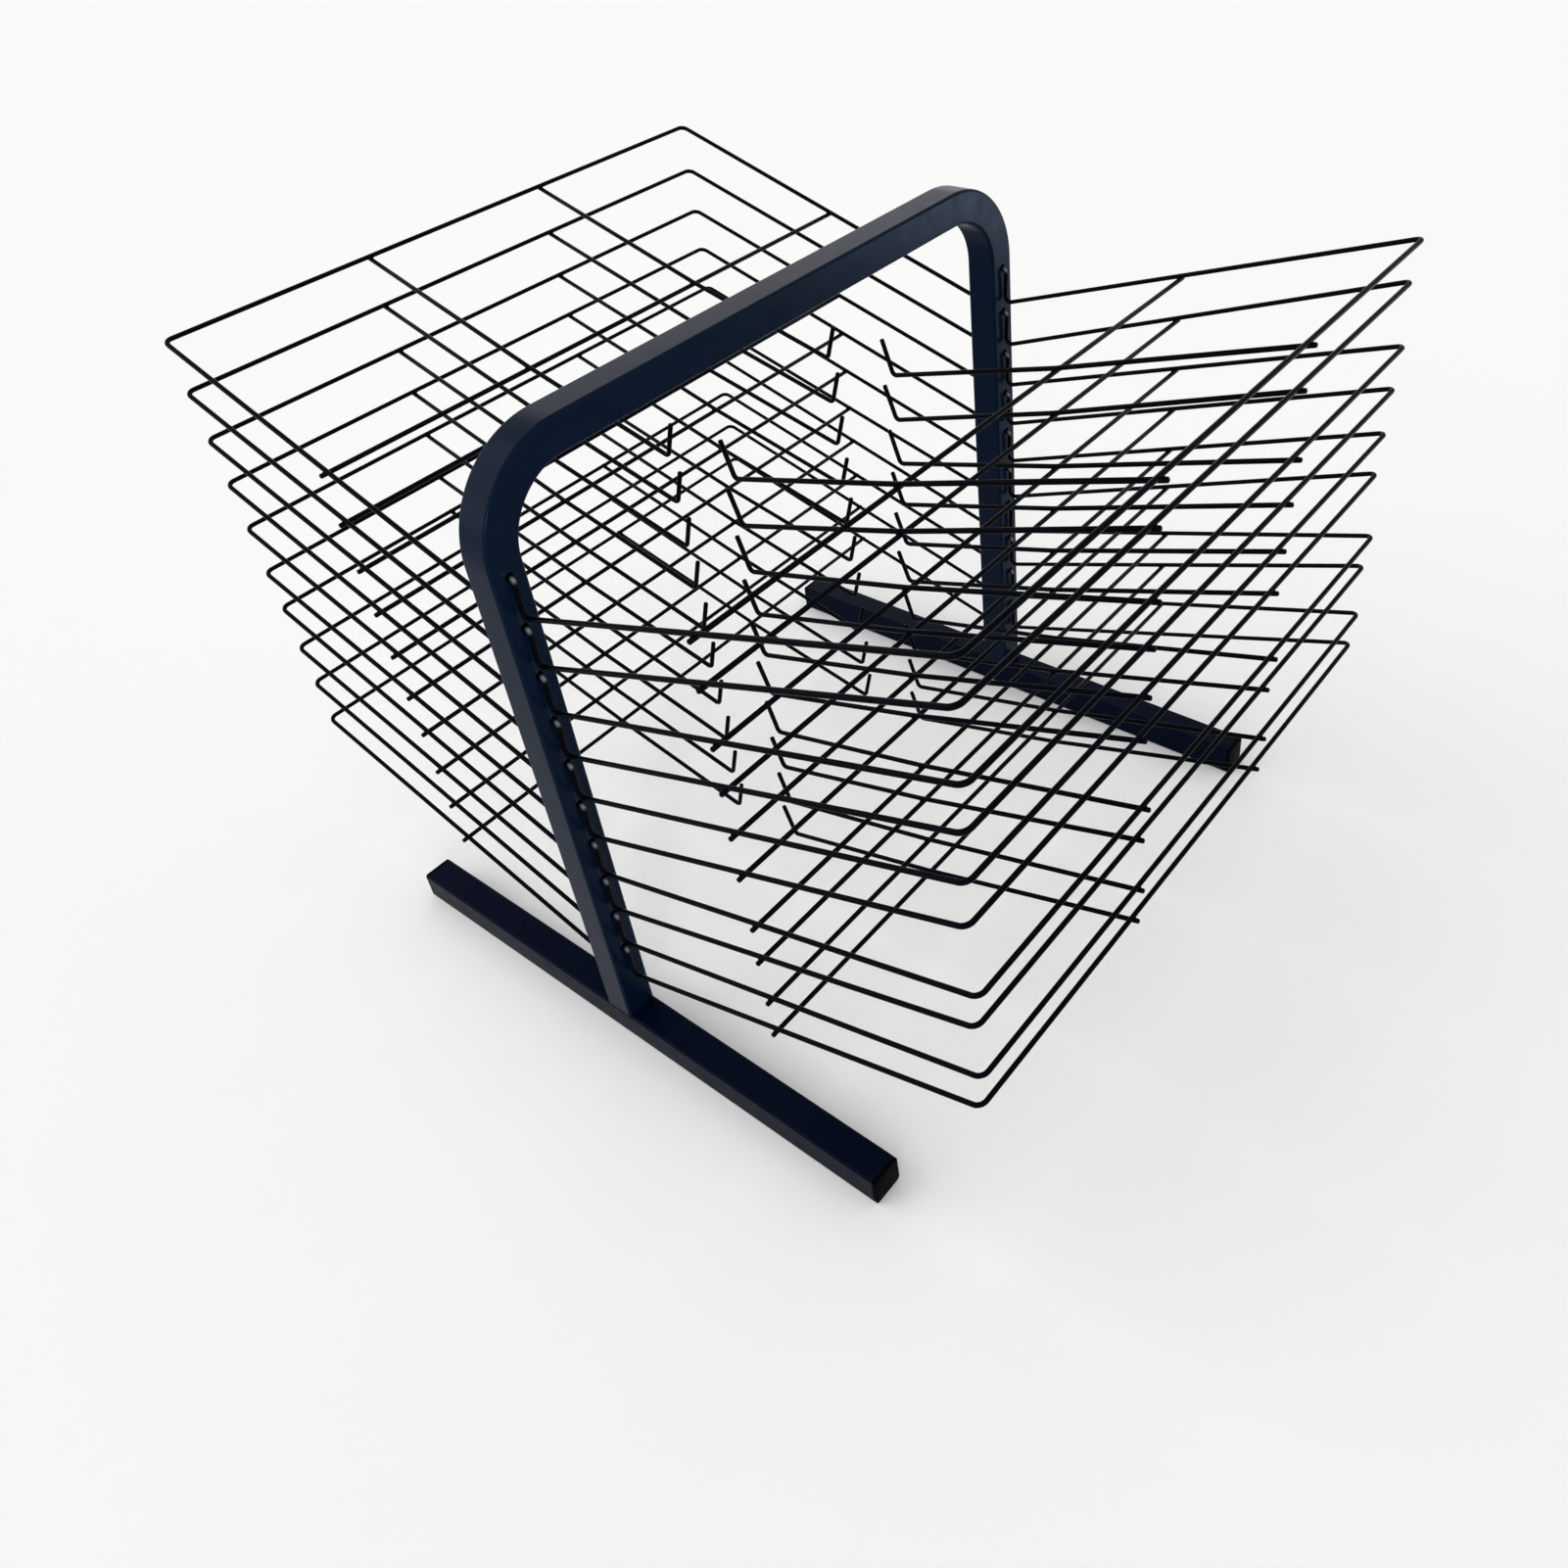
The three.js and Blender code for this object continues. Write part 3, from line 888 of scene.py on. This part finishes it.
class RACK_OT_stage(bpy.types.Operator):
    """Set the studio: floor, lamps, room light and camera"""

    bl_idname = "rack.stage"
    bl_label = "Stage"

    def execute(self, context):
        studio = context.scene.rack_studio
        paint = painted_floor("matt_floor_paint", context.scene.rack_finish.floor)
        mesh = bmesh.new()
        mesh.faces.new([mesh.verts.new((a, b, -FLOOR_DROP)) for a, b in circle(FLOOR_RADIUS, 64)])
        floor = to_object("studio_floor", mesh, paint)

        world = bpy.data.worlds.new("studio_room")
        context.scene.world = world
        world.use_nodes = True
        tree = world.node_tree
        tree.nodes.clear()
        rays = add_node(tree, "ShaderNodeLightPath").outputs
        seen = add_node(
            tree,
            "ShaderNodeMath",
            {0: rays["Is Camera Ray"], 1: rays["Is Glossy Ray"]},
            operation="MAXIMUM",
        )
        seen_all = add_node(
            tree,
            "ShaderNodeMath",
            {0: seen.outputs[0], 1: rays["Is Transmission Ray"]},
            operation="MAXIMUM",
        )
        glow = add_node(
            tree,
            "ShaderNodeMapRange",
            {"Value": seen_all.outputs[0], "To Min": studio.ambient, "To Max": 1.0},
        )
        light = add_node(
            tree,
            "ShaderNodeBackground",
            {"Color": linear("#ffffff"), "Strength": glow.outputs["Result"]},
        )
        add_node(tree, "ShaderNodeOutputWorld", {"Surface": light.outputs["Background"]})

        for name, energy, width, place in (
            ("key_light", studio.key_strength, 62, (-1.0, 1.4, 1.2)),
            ("back_light", studio.back_strength, 40, (1.0, 1.1, 0.75)),
        ):
            sun = bpy.data.lights.new(name, "SUN")
            sun.energy = energy
            sun.angle = math.radians(width)
            add_light(sun, place)
        for name, watts, size, tint, place, aim in (
            ("front_lamp", studio.front_power, 0.15, "#ffffff", (-1.1, -0.75, 0.62), (-0.2, 0, 0.36)),
            ("side_lamp", studio.side_power, 0.4, "#c8e0ff", (1.05, -0.75, 0.2), (0.12, 0, 0.5)),
        ):
            lamp = bpy.data.lights.new(name, "AREA")
            lamp.energy = watts
            lamp.color = linear(tint)[:3]
            lamp.size = size
            lamp.spread = math.radians(45)  # a narrow beam, kept off the floor
            add_light(lamp, place, aim)
        set_camera()
        context.scene.view_settings.view_transform = "Standard"
        return {"FINISHED"}


OPERATORS = (
    RACK_OT_stage,
    RACK_OT_frame,
    RACK_OT_feet,
    RACK_OT_caps,
    RACK_OT_fasteners,
    RACK_OT_shelves,
)
GROUPS = {
    "rack_tube": RackTubeSizes,
    "rack_shelf": RackShelfSizes,
    "rack_finish": RackFinish,
    "rack_studio": RackStudio,
}


class RACK_PT_sidebar(bpy.types.Panel):
    """The rack's sizes, finishes and build steps"""

    bl_idname = "RACK_PT_sidebar"
    bl_label = "Art Drying Rack"
    bl_space_type = "VIEW_3D"
    bl_region_type = "UI"
    bl_category = "Rack"

    def draw(self, context):
        for operator in OPERATORS:
            self.layout.operator(operator.bl_idname)
        for group in GROUPS:
            values = getattr(context.scene, group)
            box = self.layout.box()
            for name in values.bl_rna.properties.keys():
                if name not in ("rna_type", "name"):
                    box.prop(values, name)


def register():
    for group in GROUPS.values():
        bpy.utils.register_class(group)
    for operator in OPERATORS:
        bpy.utils.register_class(operator)
    bpy.utils.register_class(RACK_PT_sidebar)
    for name, group in GROUPS.items():
        setattr(bpy.types.Scene, name, bpy.props.PointerProperty(type=group))


def unregister():
    for name in GROUPS:
        delattr(bpy.types.Scene, name)
    bpy.utils.unregister_class(RACK_PT_sidebar)
    for kind in [*OPERATORS, *GROUPS.values()]:
        bpy.utils.unregister_class(kind)


def main():
    register()
    for step in (
        bpy.ops.rack.stage,
        bpy.ops.rack.frame,
        bpy.ops.rack.feet,
        bpy.ops.rack.caps,
        bpy.ops.rack.fasteners,
        bpy.ops.rack.shelves,
    ):
        step()


if __name__ == "__main__":
    main()
